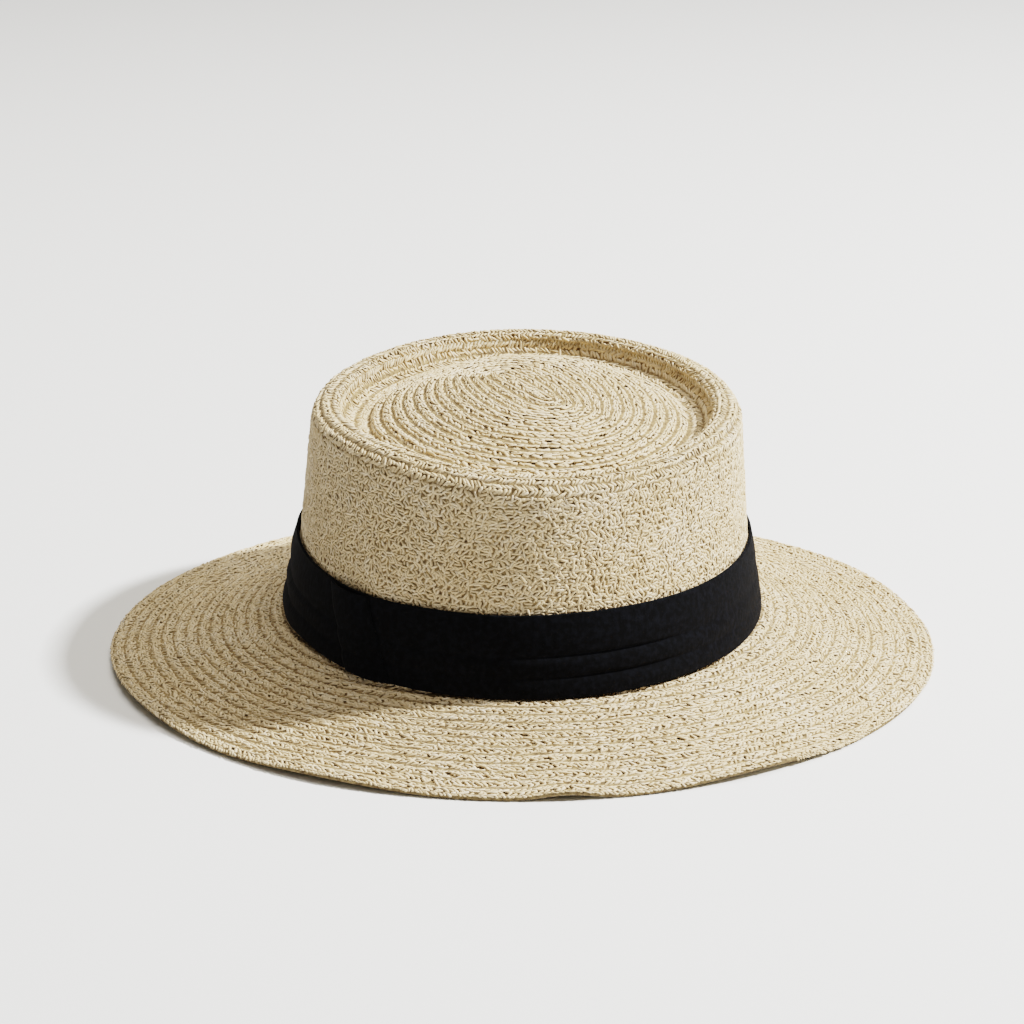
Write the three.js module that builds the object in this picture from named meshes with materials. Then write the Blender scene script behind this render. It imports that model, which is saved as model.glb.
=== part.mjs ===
// Straw boater hat: a sewn straw braid crown and brim with a pleated black cloth band.
// Millimetres, +Z up. The origin is on the surface that the brim rests on, below the middle of the hat.
// The head oval is longest along Y. The front of the hat looks toward -Y, and its left is toward -X.
// Widths are measured across X, outside the straw, unless a name says otherwise.

import * as THREE from 'three';
import { mergeVertices } from 'three/addons/utils/BufferGeometryUtils.js';

// Straw braid and cloth
const strawThickness = 2;
const braidPitch = 4.4;
const braidRelief = 0.5;
const clothThickness = 1;
const clearance = 0.3;

// Crown
const footWidth = 170;
const bandTopWidth = 161.5;
const shoulderWidth = 154.5;
const ovalExtra = 34;
const crownHeight = 76;
const rimRadius = 7.5;
const rimInnerRadius = 3.5;
const rimWave = 3;
const grooveDepth = 8;
const grooveWidth = 116;
const domeRise = 11;
const domeFullness = 0.6;
const crownDip = 5;
const crownLean = 1.6;

// Brim
const brimWidth = 301;
const brimLength = 298;
const brimRise = 17;
const brimSag = 1.5;
const restWidth = 2;
const collarHeight = 10;
const edgeLift = 3;

// Band and its loop
const bandHeight = 28;
const bandEdgeWave = 1.5;
const pleatDepth = 1.6;
const loopWidth = 21;
const loopSlant = 15;
const loopTurn = 228;
const loopFullness = 1;

// Facets round the hat and across its walls
const strawFacets = 44;
const bandFacets = 88;
const loopFacets = 8;
const brimSteps = 8;
const bendSteps = 3;

// Places where the rim's crest strays from its plane. rise is a share of rimWave.
const rimWaves = [
  { turn: 225, spread: 60, rise: 1.0 },
  { turn: 330, spread: 40, rise: 0.2 },
];

// Places where the brim's edge stands off the surface. turn and spread are degrees from +X toward +Y,
// and lift is a share of edgeLift.
const edgeLifts = [
  { turn: 30, spread: 24, lift: 0.4 },
  { turn: 205, spread: 30, lift: 0.8 },
  { turn: 243, spread: 20, lift: 0.6 },
  { turn: 275.5, spread: 7, lift: 0.6 },
  { turn: 302, spread: 18, lift: 0.65 },
];

// Places where an edge of the band strays from its level. rise is a share of bandEdgeWave.
const bandWaves = [
  { edge: 'top', turn: 180, spread: 30, rise: 0.8 },
  { edge: 'top', turn: 226, spread: 26, rise: -0.6 },
  { edge: 'top', turn: 290, spread: 34, rise: 0.4 },
  { edge: 'bottom', turn: 208, spread: 16, rise: 0.6 },
];

// The band's section from its bottom edge to its top edge, with a crease below each pleat.
// height is a share of the band's height and swell a share of pleatDepth.
const bandSection = [
  { height: 0.0, swell: 0.5 },
  { height: 0.12, swell: 1.0 },
  { height: 0.24, swell: 0.2 },
  { height: 0.4, swell: 0.9 },
  { height: 0.5, swell: 0.2 },
  { height: 0.72, swell: 0.8 },
  { height: 1.0, swell: 0.2 },
];

// How full the pleats are round the band, as a share of their full depth
const pleatFullness = [
  { turn: 0, fullness: 0.8 },
  { turn: 90, fullness: 0.7 },
  { turn: 180, fullness: 1.0 },
  { turn: 226, fullness: 0.6 },
  { turn: 262, fullness: 0.35 },
  { turn: 310, fullness: 1.0 },
  { turn: 360, fullness: 0.8 },
];

const footHalf = footWidth / 2;
const bandTopHalf = bandTopWidth / 2;
const shoulderHalf = shoulderWidth / 2;
const brimHalf = brimWidth / 2;
const grooveHalf = grooveWidth / 2;
const crestHalf = shoulderHalf - rimRadius;
const rimInnerHalf = crestHalf - rimInnerRadius;
const edgeRound = strawThickness / 2;
const footLevel = brimRise + clearance;
const bandBottomLevel = footLevel + clearance;
const bandTopLevel = bandBottomLevel + bandHeight;
const crestLevel = brimRise + crownHeight;
const shoulderLevel = crestLevel - rimRadius;
const grooveLevel = crestLevel - grooveDepth;
const domeLevel = grooveLevel + domeRise;
const collarTopLevel = footLevel + collarHeight;
const bandReach = footHalf + clearance + clothThickness + pleatDepth;

const straw = new THREE.MeshStandardMaterial({ color: 0xdccdb0, roughness: 0.8, metalness: 0 });
const cloth = new THREE.MeshStandardMaterial({ color: 0x111214, roughness: 0.95, metalness: 0 });

// A bump of height 1 at the given turn, which is level with its surroundings at spread degrees away
function bump(degrees, turn, spread) {
  const away = Math.abs(((degrees - turn + 540) % 360) - 180);
  return away < spread ? 0.5 + 0.5 * Math.cos((Math.PI * away) / spread) : 0;
}

// The value of one column of a table at a place between its rows
function between(rows, place, value, at) {
  const next = Math.max(1, rows.findIndex((row) => row[place] >= at));
  const low = rows[next - 1];
  const high = rows[next];
  return THREE.MathUtils.mapLinear(at, low[place], high[place], low[value], high[value]);
}

// Half of the crown wall's width, outside the straw, at a height
function wallHalf(level) {
  if (level < bandTopLevel) {
    return THREE.MathUtils.mapLinear(level, footLevel, bandTopLevel, footHalf, bandTopHalf);
  }
  return THREE.MathUtils.mapLinear(level, bandTopLevel, shoulderLevel, bandTopHalf, shoulderHalf);
}

// The brim's upper face: highest at the crown, and flatter toward the edge. share runs from 0 to 1.
function brimLevel(share) {
  const straight = THREE.MathUtils.lerp(brimRise, strawThickness, share);
  return straight - brimSag * Math.sin(Math.PI * share);
}

// How far a half width is along the brim, from 0 at the crown's foot to 1 at the edge
function brimShare(half) {
  return THREE.MathUtils.clamp((half - footHalf) / (brimHalf - footHalf), 0, 1);
}

// Half of what the oval is longer than wide: none at the middle of the tip, the head oval's on the
// crown, and from there to the edge of the brim a growing part of the brim's own
function halfExtra(half) {
  const tipShare = THREE.MathUtils.smoothstep(half, 0, grooveHalf / 2);
  const brimExtra = brimLength - brimWidth;
  return (tipShare * THREE.MathUtils.lerp(ovalExtra, brimExtra, brimShare(half))) / 2;
}

// How far the rim's crest stands above its plane at an angle. The dome keeps its own form.
function rimRise(half, angle) {
  const degrees = THREE.MathUtils.radToDeg(angle);
  const rise = rimWaves.reduce((sum, row) => sum + row.rise * bump(degrees, row.turn, row.spread), 0);
  return rimWave * rise * THREE.MathUtils.smoothstep(half, grooveHalf / 2, crestHalf);
}

// Where a point of the hat is: half a width, an angle from +X toward +Y in radians, and a height.
// The crown leans toward +X, and above the band it dips toward the front.
function hatPoint(half, angle, level) {
  const lean = crownLean * Math.max(0, (level - brimRise) / crownHeight);
  const rise = THREE.MathUtils.clamp((level - bandTopLevel) / (crestLevel - bandTopLevel), 0, 1);
  const x = half * Math.cos(angle);
  const y = (half + halfExtra(half)) * Math.sin(angle);
  const dip = (crownDip / 2) * (y / (crestHalf + ovalExtra / 2));
  return new THREE.Vector3(x + lean, y, level + rise * (dip + rimRise(half, angle)));
}

// Points of a path a given step apart, with every second one pushed out to make a row of braid
function braidRows(path, step) {
  const count = 2 * Math.max(2, Math.round(path.getLength() / step));
  const points = [];
  for (let index = 0; index <= count; index += 1) {
    const tangent = path.getTangentAt(index / count);
    const outward = new THREE.Vector2(-tangent.y, tangent.x);
    const relief = index % 2 === 0 ? -braidRelief / 2 : braidRelief / 2;
    points.push(path.getPointAt(index / count).addScaledVector(outward, relief));
  }
  return points;
}

// A point on the inner side of a wall whose outer side is the curve
function innerPoint(curve, share) {
  const tangent = curve.getTangent(share);
  const inward = new THREE.Vector2(tangent.y, -tangent.x);
  return curve.getPoint(share).addScaledVector(inward, strawThickness - braidRelief / 2);
}

// Points along the inner side of a wall: a few to each bend, and one to each straight stretch
function innerSide(curves) {
  const points = [innerPoint(curves[0], 0)];
  curves.forEach((curve) => {
    const steps = curve.isLineCurve ? 1 : bendSteps;
    for (let index = 1; index <= steps; index += 1) {
      points.push(innerPoint(curve, index / steps));
    }
  });
  return points;
}

// A closed body from a profile turned once round the hat, with each vertex placed by a function
function turned(profile, facets, place) {
  const lathe = new THREE.LatheGeometry(profile, facets);
  const position = lathe.getAttribute('position');
  for (let index = 0; index < position.count; index += 1) {
    const x = position.getX(index);
    const z = position.getZ(index);
    const point = place(Math.hypot(x, z), Math.atan2(x, z), position.getY(index));
    position.setXYZ(index, point.x, point.y, point.z);
  }
  return closedBody(lathe);
}

// Merges shared vertices, drops triangles with no area and turns the faces outward
function closedBody(source) {
  source.deleteAttribute('normal');
  source.deleteAttribute('uv');
  const merged = mergeVertices(source, 1e-3);
  const corners = merged.getIndex().array;
  const position = merged.getAttribute('position');
  const point = (index) => new THREE.Vector3().fromBufferAttribute(position, index);
  const kept = [];
  let volume = 0;
  for (let index = 0; index < corners.length; index += 3) {
    const [a, b, c] = corners.slice(index, index + 3);
    if (a !== b && b !== c && c !== a) {
      kept.push(a, b, c);
      volume += point(a).dot(point(b).cross(point(c)));
    }
  }
  merged.setIndex(volume > 0 ? kept : kept.reverse());
  merged.computeVertexNormals();
  return merged;
}

// The crown's outer side above the band: the dome, the groove round it, the rim and the side wall
function crownCurves() {
  const path = new THREE.Path();
  path.moveTo(0, domeLevel);
  path.quadraticCurveTo(grooveHalf * domeFullness, domeLevel, grooveHalf, grooveLevel);
  path.quadraticCurveTo(rimInnerHalf, grooveLevel, rimInnerHalf, crestLevel - rimInnerRadius);
  path.quadraticCurveTo(rimInnerHalf, crestLevel, crestHalf, crestLevel);
  path.quadraticCurveTo(shoulderHalf, crestLevel, shoulderHalf, shoulderLevel);
  path.lineTo(bandTopHalf, bandTopLevel);
  return path.curves;
}

// The crown is smooth below the band's top edge, where the band covers it
function crownGeometry() {
  const open = new THREE.CurvePath();
  open.curves = crownCurves();
  const foot = new THREE.Vector2(footHalf, footLevel);
  const covered = new THREE.LineCurve(new THREE.Vector2(bandTopHalf, bandTopLevel), foot);
  const rows = braidRows(open, braidPitch);
  const lining = innerSide([...open.curves, covered]).reverse();
  rows[0].x = 0;
  lining[lining.length - 1].x = 0;
  rows[rows.length - 1].copy(covered.v1);
  return turned([...rows, foot, ...lining], strawFacets, hatPoint);
}

// How far the brim's edge stands off the surface at an angle
function liftAt(angle) {
  const degrees = THREE.MathUtils.radToDeg(angle);
  return edgeLifts.reduce((sum, row) => sum + edgeLift * row.lift * bump(degrees, row.turn, row.spread), 0);
}

// A point of the brim, lifted more the nearer it is to the edge
function brimPoint(half, angle, level) {
  return hatPoint(half, angle, level + liftAt(angle) * brimShare(half) ** 2);
}

// The brim's upper face from the crown's foot to the turn of its edge
function brimCurve() {
  const points = [];
  for (let index = 0; index <= brimSteps; index += 1) {
    const share = index / brimSteps;
    const half = THREE.MathUtils.lerp(footHalf, brimHalf - edgeRound, share);
    points.push(new THREE.Vector2(half, brimLevel(share)));
  }
  return new THREE.SplineCurve(points);
}

// The brim's section: the collar inside the crown's foot, the upper face, the edge with the flat
// that the hat rests on, and the under face
function brimGeometry() {
  const slope = Math.atan((footHalf - bandTopHalf) / (bandTopLevel - footLevel));
  const inset = (strawThickness + clearance) / Math.cos(slope);
  const collarHalf = (level) => wallHalf(level) - inset;
  const upper = brimCurve();
  const collar = [
    new THREE.Vector2(collarHalf(collarTopLevel) - strawThickness, collarTopLevel),
    new THREE.Vector2(collarHalf(collarTopLevel), collarTopLevel),
    new THREE.Vector2(collarHalf(brimRise), brimRise),
  ];
  const edge = [
    new THREE.Vector2(brimHalf, edgeRound),
    new THREE.Vector2(brimHalf - edgeRound, 0),
    new THREE.Vector2(brimHalf - edgeRound - restWidth, 0),
  ];
  const under = innerSide([upper]).reverse().slice(1);
  under[under.length - 1].x = collarHalf(brimRise) - strawThickness;
  const profile = [...collar, ...braidRows(upper, braidPitch), ...edge, ...under, collar[0]];
  return turned(profile, strawFacets, brimPoint);
}

// The level of one edge of the band at an angle, in degrees
function bandEdge(edge, degrees) {
  const level = edge === 'top' ? bandTopLevel : bandBottomLevel;
  const waves = bandWaves.filter((row) => row.edge === edge);
  return waves.reduce((sum, row) => sum + bandEdgeWave * row.rise * bump(degrees, row.turn, row.spread), level);
}

// A point of the band: how far out it is, from 0 at the crown to 1 at the face, and a share of its height.
// extra is added outside the band's own face.
function bandPoint(outward, height, angle, extra = 0) {
  const degrees = (THREE.MathUtils.radToDeg(angle) + 360) % 360;
  const level = THREE.MathUtils.lerp(bandEdge('bottom', degrees), bandEdge('top', degrees), height);
  const swell = pleatDepth * between(bandSection, 'height', 'swell', height);
  const fullness = between(pleatFullness, 'turn', 'fullness', degrees);
  const inner = wallHalf(Math.min(level, bandTopLevel)) + clearance;
  return hatPoint(inner + outward * (clothThickness + swell * fullness) + extra, angle, level);
}

function bandGeometry() {
  const face = bandSection.map((row) => new THREE.Vector2(1, row.height));
  const back = [new THREE.Vector2(0.5, 1), new THREE.Vector2(0.5, 0)];
  const profile = [...face, ...back, face[0]];
  const place = (radius, angle, height) => bandPoint(2 * radius - 1, height, angle);
  return turned(profile, bandFacets, place);
}

// The loop is a slanting strip that follows the band's face from its bottom edge to its top edge
function loopGeometry() {
  const meanRadius = bandReach + ovalExtra / 4;
  const middle = THREE.MathUtils.degToRad(loopTurn);
  const outline = new THREE.Shape();
  bandSection.forEach((row, index) => {
    if (index === 0) outline.moveTo(0, row.height);
    else outline.lineTo(0, row.height);
  });
  [...bandSection].reverse().forEach((row) => outline.lineTo(1, row.height));
  const strip = new THREE.ExtrudeGeometry(outline, { depth: 1, steps: loopFacets, bevelEnabled: false });
  const position = strip.getAttribute('position');
  for (let index = 0; index < position.count; index += 1) {
    const across = 2 * position.getZ(index) - 1;
    const layer = position.getX(index);
    const swell = loopFullness * (1 - across * across);
    const extra = clearance + layer * (clothThickness + swell);
    const height = position.getY(index);
    const along = (across * loopWidth) / 2 + (0.5 - height) * loopSlant;
    const point = bandPoint(1, height, middle + along / meanRadius, extra);
    position.setXYZ(index, point.x, point.y, point.z);
  }
  return closedBody(strip);
}

function named(name, geometry, material) {
  const mesh = new THREE.Mesh(geometry, material);
  mesh.name = name;
  return mesh;
}

const hat = new THREE.Group();
hat.add(named('crown', crownGeometry(), straw));
hat.add(named('brim', brimGeometry(), straw));
hat.add(named('band', bandGeometry(), cloth));
hat.add(named('band_loop', loopGeometry(), cloth));

export default hat;
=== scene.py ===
# Straw boater hat: sewn straw braid over straw walls, with a pleated black cloth band and its loop.
# Shapes are worked out in millimetres, in the frame of the solids, and made in metres.
# +Z is up and the front of the hat looks toward -Y. Angles run from +X toward +Y.

import math
from functools import partial

import bmesh
import bpy
import numpy as np
from mathutils import Matrix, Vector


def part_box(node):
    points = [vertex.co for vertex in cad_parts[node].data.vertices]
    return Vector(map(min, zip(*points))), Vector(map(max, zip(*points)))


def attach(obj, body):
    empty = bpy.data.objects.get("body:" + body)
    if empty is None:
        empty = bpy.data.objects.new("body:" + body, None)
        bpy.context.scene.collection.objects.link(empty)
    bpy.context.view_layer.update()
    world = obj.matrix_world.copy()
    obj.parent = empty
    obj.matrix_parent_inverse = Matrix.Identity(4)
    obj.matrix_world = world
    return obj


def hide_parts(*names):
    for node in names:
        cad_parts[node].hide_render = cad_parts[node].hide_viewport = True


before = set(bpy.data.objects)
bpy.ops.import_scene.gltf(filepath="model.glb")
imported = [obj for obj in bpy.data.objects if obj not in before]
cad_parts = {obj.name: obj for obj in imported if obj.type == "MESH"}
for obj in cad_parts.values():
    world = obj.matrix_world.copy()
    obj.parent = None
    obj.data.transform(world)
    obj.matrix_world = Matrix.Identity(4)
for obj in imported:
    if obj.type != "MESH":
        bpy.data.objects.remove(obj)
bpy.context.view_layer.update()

bl_info = {
    "name": "Straw boater hat",
    "version": (1, 0, 0),
    "blender": (4, 5, 0),
    "location": "3D View > Sidebar > Boater",
    "description": "Plaited straw, pleated band and stage for a straw boater hat",
    "category": "Object",
}

MM = 0.001
BODY = "root"


def mm_box(name):
    """The lowest and highest corners of a solid, in mm."""
    low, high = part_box(name)
    return np.array(low) / MM, np.array(high) / MM


def table(columns, *rows):
    """A table as a list of rows, whose values go by the names of the columns."""
    return [dict(zip(columns.split(), row)) for row in rows]


BRIM_LOW, BRIM_HIGH = mm_box("brim")
CROWN_LOW = mm_box("crown")[0]

# Straw and cloth
STRAW_THICKNESS = 2.0
BRAID_RELIEF = 0.5
CLEARANCE = 0.3

# Crown, outside the straw
FOOT_LEVEL = CROWN_LOW[2]
FOOT_HALF = 85.0
BAND_TOP_HALF = 80.75
SHOULDER_HALF = 77.25
OVAL_EXTRA = 34.0
CROWN_HEIGHT = 76.0
RIM_RADIUS = 7.5
RIM_INNER_RADIUS = 3.5
RIM_WAVE = 3.0
GROOVE_HALF = 58.0
GROOVE_DEPTH = 8.0
DOME_RISE = 11.0
DOME_FULLNESS = 0.6
CROWN_DIP = 5.0
CROWN_LEAN = 1.6

# Brim
BRIM_HALF = (BRIM_HIGH[0] - BRIM_LOW[0]) / 2
BRIM_EXTRA = (BRIM_HIGH[1] - BRIM_LOW[1]) - (BRIM_HIGH[0] - BRIM_LOW[0])
BRIM_RISE = FOOT_LEVEL - CLEARANCE
BRIM_SAG = 1.5
EDGE_LIFT = 3.0
EDGE_ROUND = STRAW_THICKNESS / 2
COLLAR_HEIGHT = 10.0

# Band and its loop
BAND_HEIGHT = 28.0
BAND_EDGE_WAVE = 1.5
CLOTH_THICKNESS = 1.0
PLEAT_DEPTH = 1.6
LOOP_WIDTH = 21.0
LOOP_SLANT = 15.0
LOOP_TURN = 228.0
LOOP_FULLNESS = 1.0
LOOP_EDGE = 0.6

CREST_HALF = SHOULDER_HALF - RIM_RADIUS
RIM_INNER_HALF = CREST_HALF - RIM_INNER_RADIUS
CREST_LEVEL = BRIM_RISE + CROWN_HEIGHT
SHOULDER_LEVEL = CREST_LEVEL - RIM_RADIUS
GROOVE_LEVEL = CREST_LEVEL - GROOVE_DEPTH
DOME_LEVEL = GROOVE_LEVEL + DOME_RISE
BAND_BOTTOM_LEVEL = FOOT_LEVEL + CLEARANCE
BAND_TOP_LEVEL = BAND_BOTTOM_LEVEL + BAND_HEIGHT
COLLAR_TOP_LEVEL = FOOT_LEVEL + COLLAR_HEIGHT
BRIM_TOP_HALF = BRIM_HALF - EDGE_ROUND
FRONT_REACH = (BRIM_HALF + BRIM_EXTRA / 2) - (FOOT_HALF + OVAL_EXTRA / 2)
SIDE_REACH = BRIM_HALF - FOOT_HALF

# Places where the rim's crest strays from its plane: turn and spread in degrees, rise a share of RIM_WAVE
RIM_WAVES = table("turn spread rise", (225, 60, 1.0), (330, 40, 0.2))

# Places where the brim's edge stands off the surface. rise is a share of EDGE_LIFT.
EDGE_LIFTS = table(
    "turn spread rise", (30, 24, 0.4), (205, 30, 0.8), (243, 20, 0.6), (275.5, 7, 0.6), (302, 18, 0.65)
)

# Places where an edge of the band strays from its level. rise is a share of BAND_EDGE_WAVE.
BAND_TOP_WAVES = table("turn spread rise", (180, 30, 0.8), (226, 26, -0.6), (290, 34, 0.4))
BAND_BOTTOM_WAVES = table("turn spread rise", (208, 16, 0.6))

# The band's section from its bottom edge to its top edge, with a crease below each pleat.
# height is a share of the band's height and swell a share of PLEAT_DEPTH.
BAND_SECTION = table(
    "height swell",
    (0.0, 0.5), (0.12, 1.0), (0.24, 0.2), (0.4, 0.9), (0.5, 0.2), (0.72, 0.8), (1.0, 0.2),
)

# Sharp creases where a pleat is folded under: height a share of the band's, depth and width in mm
BAND_CREASES = table("height turn spread depth width", (0.5, 291, 30, 0.9, 0.6), (0.25, 292, 30, 0.9, 0.6))

# How full the pleats are round the band, as a share of their full depth
PLEAT_FULLNESS = table(
    "turn share", (0, 0.8), (90, 0.7), (180, 1.0), (226, 0.6), (262, 0.35), (310, 1.0), (360, 0.8)
)

# Where the pleats are stretched smooth: turn in degrees, and how much of them is gone, from 0 to 1
PLEAT_SMOOTHING = table(
    "turn share", (0, 0.75), (20, 0.75), (50, 0.0), (308, 0.0), (332, 0.75), (360, 0.75)
)

# How the straw strands lie in each part of the hat, in mm and degrees. lanes is the strands side by side
# in a row, step their spacing along it, tilt their slant to it and scatter how much that varies. relief is
# how far a row's middle stands above its edges and spread how much of the row its lanes fill. gap is how
# much painted shade browns the straw where two rows meet, and shade how much painted shade browns it low on
# each strand, from 0 to 1.
STITCHES = dict(zip(("tip", "rim", "side", "brim", "edge"), table(
    "lanes step length width height tilt scatter relief spread gap shade",
    (3, 2.2, 3.4, 1.3, 0.75, 12, 9, 0.5, 0.84, 1.0, 0.9),
    (2, 1.4, 3.3, 1.15, 0.65, 48, 20, 0.26, 0.95, 0.85, 0.6),
    (4, 1.6, 2.9, 1.05, 0.62, 34, 40, 0.03, 1.0, 0.3, 0.45),
    (4, 2.0, 3.2, 1.15, 0.68, 22, 16, 0.34, 0.92, 0.6, 0.4),
    (1, 1.3, 2.4, 1.0, 0.55, 40, 15, 0.0, 1.0, 0.0, 0.8),
)))

# The braid's last end, tucked under the edge: where it starts, how far it runs and the notch before it, in
# degrees, and how far round the edge it starts and ends, in mm
BRAID_END = {"turn": 307.0, "spread": 13.0, "from": 1.9, "to": 0.9, "notch": 1.3}

# How blunt a strand's ends are, from 1 for a ball's to 0 for a cut rod's
END_BLUNTNESS = 0.62
STRAND_SIDES = 4
STRAND_RINGS = 3

# How uneven a rough plait's strands are. length, width and height are shares of the strand's own, along is
# a share of the step, and across, drift and sunk are in mm.
UNEVEN = {
    "length": 0.18, "width": 0.14, "height": 0.12, "along": 0.16, "across": 0.16, "drift": 0.2, "sunk": 0.1,
}

# Two slow waves whose product neighbouring strands follow: how many go round, and mm out to a radian
DRIFT_WAVES = table("turns reach start", (9, 5.0, 0.0), (4, -9.0, 1.0))

# Where in a row the painted shade starts, from 0 at its middle to 1 at its edges
VALLEY_START = 0.68

# How many rows past the tip's middle and the groove the tip's braid begins and ends, and how many past the
# groove and the band's top edge the outer side's does
TIP_SPAN = (-0.2, 0.4)
SIDE_SPAN = (-0.27, 0.8)

# How far round the brim's edge its last row lies, in mm
EDGE_ROW = 0.5

# Seeds of the random draws
CROWN_SEED, BRIM_SEED = 11, 23

# How finely things are made: steps round the hat, points along a section, and faces across and up the loop
CROWN_STEPS, BRIM_STEPS, BAND_STEPS = 176, 240, 360
CROWN_POINTS, BRIM_POINTS, BAND_POINTS, BAND_BACK_POINTS = 60, 24, 65, 9
LOOP_FACES = (28, 56)
POINTS_PER_RIB = 4
BEND_STEP = 0.02
BEND_POINTS = round(1 / BEND_STEP)
ROW_POINTS_PER_RADIAN, LEAST_ROW_POINTS = 90, 8
MERGE_DISTANCE = 1e-4

# The narrowest half width that is looked for, in mm, and how many halvings find one
NARROWEST_HALF, HALVINGS = 1e-3, 26

# Corners of the brim wall's edge: how far in from the brim's edge and how high, as shares of EDGE_ROUND
EDGE_SECTION = [(0.7, 0.9), (0.9, 0.3), (1.4, 0.1), (3.0, 0.1)]

# Where the ribs under the brim stop: how far in from its edge and out from the collar, in mm
RIB_STOP = {"edge": 3.6, "collar": 1.0}

# How far a face has to look down to count as an inner one
DOWNWARD = 0.3

# Where the band's back lies, from 0 at the crown to 1 at the band's face, and where its section is turned
BAND_BACK, BAND_TURN_HALF = 0.35, 2

# How far a band stretched smooth swells at its top edge, and how much more at its bottom edge, as shares of
# PLEAT_DEPTH
STRETCHED_SWELL = {"top": 0.2, "more": 0.6}

# Soft wrinkles of the band: how many go round, how far they slant, how often and from where they swell and
# fade, and their rise in mm
BAND_WRINKLES = table("count slant swells start rise", (7, 9, 3, 1, 0.12), (23, -14, 5, 2, 0.08))

# Colours of the strands, of the straw below them, of the inner side and of the lint on the cloth. The straw
# below the strands is brown as painted shade for the gaps, and the inner side's groove and side colours are
# painted shade between its strands.
STRAW_WARM, STRAW_PALE = "#C4A87C", "#F4E7D0"
GROUND_SHADE_DARK, GROUND_SHADE_PALE = "#5E4A2E", "#9A8258"
INNER_GROOVE_SHADE, INNER_SIDE_SHADE, INNER_STRAND = "#8C7449", "#C7B186", "#E6D8BC"
LINT_COLOUR = "#111216"

# How much of a strand's colour comes from its own tone, from its fibre lines and from the patch it is in
TONE_WEIGHT, LINES_WEIGHT, PATCH_WEIGHT = 0.28, 0.35, 0.34

# Grains of the noises to a metre: patches about 25 mm wide, dashes of painted shade about 3 mm long between
# the rows, lint and uneven dye about 2 mm wide, and mottling about 1.5 mm wide
PATCH_GRAINS, DASH_GRAINS, LINT_GRAINS, MOTTLE_GRAINS = 40.0, 380.0, 520.0, 700.0

# Fibre lines about 5 mm long and 0.3 mm wide, how far apart in their noise strands may lie, in mm, and how
# far threads are drawn out along their way
FIBRE_SCALE = (0.2, 3.3, 1.0)
FIBRE_STRAY = 400
THREAD_DRAW = 12

# The rows of the inner side: half a row's width and the distance between strands in mm, and their slant
INNER_ROWS = {"half_row": 2.2, "strand": 1.8, "slant": 1.6}

# The stage: places in mm, angles in degrees
FLOOR_SIZE = 6000.0
WARM_LIGHT = (1.0, 0.955, 0.89)
KEY_LIGHT = {"turn": 1.0, "rise": 46.0, "far": 2500.0, "size": 150.0, "colour": (0.97, 0.98, 1.0)}
TOP_LIGHT = {"turn": 60.0, "rise": 76.0, "far": 2500.0, "size": 2000.0, "colour": WARM_LIGHT}
CAMERA = {"x": -3.75, "y": -1060.06, "z": 394.24, "pitch": 72.0, "lens": 108.04, "sensor": 36.0}


# Colours and numbers


def linear(hex_colour):
    """An sRGB hex colour as a linear colour with alpha."""
    parts = [int(hex_colour[i : i + 2], 16) / 255 for i in (1, 3, 5)]
    return tuple(c / 12.92 if c <= 0.04045 else ((c + 0.055) / 1.055) ** 2.4 for c in parts) + (1.0,)


def mixed(low, high, share):
    """A value between two others."""
    return low + (high - low) * share


def smooth_share(value, low, high):
    """How far value is from low to high, eased at both ends."""
    share = np.clip((value - low) / (high - low), 0, 1)
    return share * share * (3 - 2 * share)


def waves(rows, angle):
    """The sum of a table's rises at an angle, each falling to nothing at its spread."""
    degrees = np.degrees(angle)
    total = np.zeros_like(degrees)
    for row in rows:
        away = np.abs((degrees - row["turn"] + 540) % 360 - 180)
        rise = 0.5 + 0.5 * np.cos(np.pi * away / row["spread"])
        total += row["rise"] * np.where(away < row["spread"], rise, 0)
    return total


def column(rows, name):
    """One column of a table."""
    return np.array([row[name] for row in rows], float)


# The hat's form


def brim_share(half):
    """How far a half width is along the brim, from 0 at the crown's foot to 1 at the edge."""
    return np.clip((half - FOOT_HALF) / (BRIM_HALF - FOOT_HALF), 0, 1)


def half_extra(half):
    """Half of what the oval is longer than wide at a half width."""
    tip_share = smooth_share(half, 0, GROOVE_HALF / 2)
    return tip_share * mixed(OVAL_EXTRA, BRIM_EXTRA, brim_share(half)) / 2


def hat_point(half, angle, level):
    """Where a point of the hat is. The crown leans toward +X, and above the band it dips to the front."""
    lean = CROWN_LEAN * np.maximum(0, (level - BRIM_RISE) / CROWN_HEIGHT)
    rise = np.clip((level - BAND_TOP_LEVEL) / (CREST_LEVEL - BAND_TOP_LEVEL), 0, 1)
    x = half * np.cos(angle)
    y = (half + half_extra(half)) * np.sin(angle)
    dip = (CROWN_DIP / 2) * (y / (CREST_HALF + OVAL_EXTRA / 2))
    crest = RIM_WAVE * waves(RIM_WAVES, angle) * smooth_share(half, GROOVE_HALF / 2, CREST_HALF)
    return np.stack([x + lean, y, level + rise * (dip + crest)], -1)


def bend(start, corner, end):
    """Points along a quadratic curve, without its last one."""
    share = BEND_STEP * np.arange(BEND_POINTS)[:, None]
    start, corner, end = (np.array(point, float) for point in (start, corner, end))
    return (1 - share) ** 2 * start + 2 * share * (1 - share) * corner + share**2 * end


def crown_section():
    """The crown's outer side from the middle of the tip to the foot: half widths and levels."""
    corners = [
        (0, DOME_LEVEL), (GROOVE_HALF * DOME_FULLNESS, DOME_LEVEL), (GROOVE_HALF, GROOVE_LEVEL),
        (RIM_INNER_HALF, GROOVE_LEVEL), (RIM_INNER_HALF, CREST_LEVEL - RIM_INNER_RADIUS),
        (RIM_INNER_HALF, CREST_LEVEL), (CREST_HALF, CREST_LEVEL),
        (SHOULDER_HALF, CREST_LEVEL), (SHOULDER_HALF, SHOULDER_LEVEL),
    ]
    bends = [bend(*corners[first : first + 3]) for first in range(0, len(corners) - 1, 2)]
    wall = [corners[-1], (BAND_TOP_HALF, BAND_TOP_LEVEL), (FOOT_HALF, FOOT_LEVEL)]
    return np.concatenate([*bends, wall])


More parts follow.
